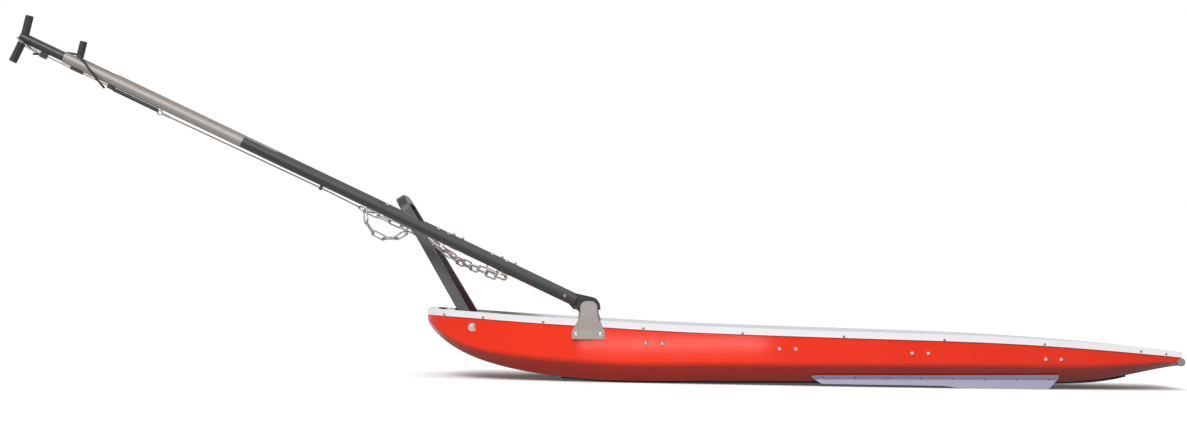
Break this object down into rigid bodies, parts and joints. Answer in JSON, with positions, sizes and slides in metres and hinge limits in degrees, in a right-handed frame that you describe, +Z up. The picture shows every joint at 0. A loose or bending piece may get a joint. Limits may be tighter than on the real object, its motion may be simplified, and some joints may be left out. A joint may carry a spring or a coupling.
{
  "type": "rescue sled",
  "caption": "Rescue toboggan: open tub hull on fins, long telescoping handles hinged at its sides, support hoop and a drag-brake chain with its lifting cable.",
  "frame": {"origin": "on the ground under the middle of the overall length and width", "axes": "+X towards the tail (the handles reach towards -X), +Y to the sled's right, +Z up"},
  "size_m": [3.6802, 0.6443, 1.1047],
  "materials": {
    "hull_gelcoat": "glossy gel coat over fibreglass laminate",
    "trim_aluminium": "mill finish extrusion",
    "wear_plastic": "matt polyethylene sheet",
    "fin_aluminium": "brushed plate",
    "bracket_aluminium": "brushed plate",
    "zinc_steel": "bright zinc plated",
    "black_paint": "satin black powder coat",
    "silver_tube": "satin anodised",
    "grip_rubber": "textured rubber",
    "black_plastic": "moulded",
    "cord_nylon": "braided cord",
    "chain_steel": "bright zinc plated chain"
  },
  "bodies": {
    "sled": {"hull_shell": "hull_gelcoat", "tail_bar": "trim_aluminium", "edge_trim_nose": "trim_aluminium", "edge_trim_left": "trim_aluminium", "edge_trim_right": "trim_aluminium", "edge_trim_tail": "trim_aluminium", "belly_plate": "wear_plastic", "fin_left": "fin_aluminium", "fin_right": "fin_aluminium", "hinge_bracket_left": "bracket_aluminium", "hinge_bracket_right": "bracket_aluminium", "hinge_plate_left": "bracket_aluminium", "hinge_plate_right": "bracket_aluminium", "pivot_pin_left": "zinc_steel", "pivot_pin_right": "zinc_steel", "support_hoop": "black_paint", "hoop_bolt_left": "zinc_steel", "hoop_bolt_right": "zinc_steel", "strap_loops_left": "zinc_steel", "strap_loops_right": "zinc_steel"},
    "handle_left": {"handle_lug_left": "black_paint", "lower_tube_left": "black_paint", "middle_tube_left": "silver_tube", "upper_tube_left": "black_paint", "grip_left": "grip_rubber", "u_bolts_left": "zinc_steel", "pull_grip": "grip_rubber", "pull_yoke": "zinc_steel", "brake_rod": "zinc_steel", "cable_guides": "black_plastic", "cable_sleeve": "black_plastic", "cable_eye": "zinc_steel", "brake_cable": "zinc_steel", "grip_cord": "cord_nylon", "brake_chain": "chain_steel", "chain_rings": "chain_steel"},
    "handle_right": {"handle_lug_right": "black_paint", "lower_tube_right": "black_paint", "middle_tube_right": "silver_tube", "upper_tube_right": "black_paint", "grip_right": "grip_rubber", "u_bolts_right": "zinc_steel"}
  },
  "joints": [
    {"name": "handle_left_hinge", "type": "hinge", "parent": "sled", "child": "handle_left", "pos_m": [-0.03552, -0.3, 0.2256], "axis": [0, 1, 0], "range_deg": [0, 155], "deforming": ["brake_chain", "chain_rings", "brake_cable"]},
    {"name": "handle_right_hinge", "type": "hinge", "parent": "sled", "child": "handle_right", "pos_m": [-0.03552, 0.3, 0.2256], "axis": [0, 1, 0], "range_deg": [0, 155]}
  ],
  "couplings": [
    {"joint": "handle_right_hinge", "follows": "handle_left_hinge", "ratio": 1}
  ]
}
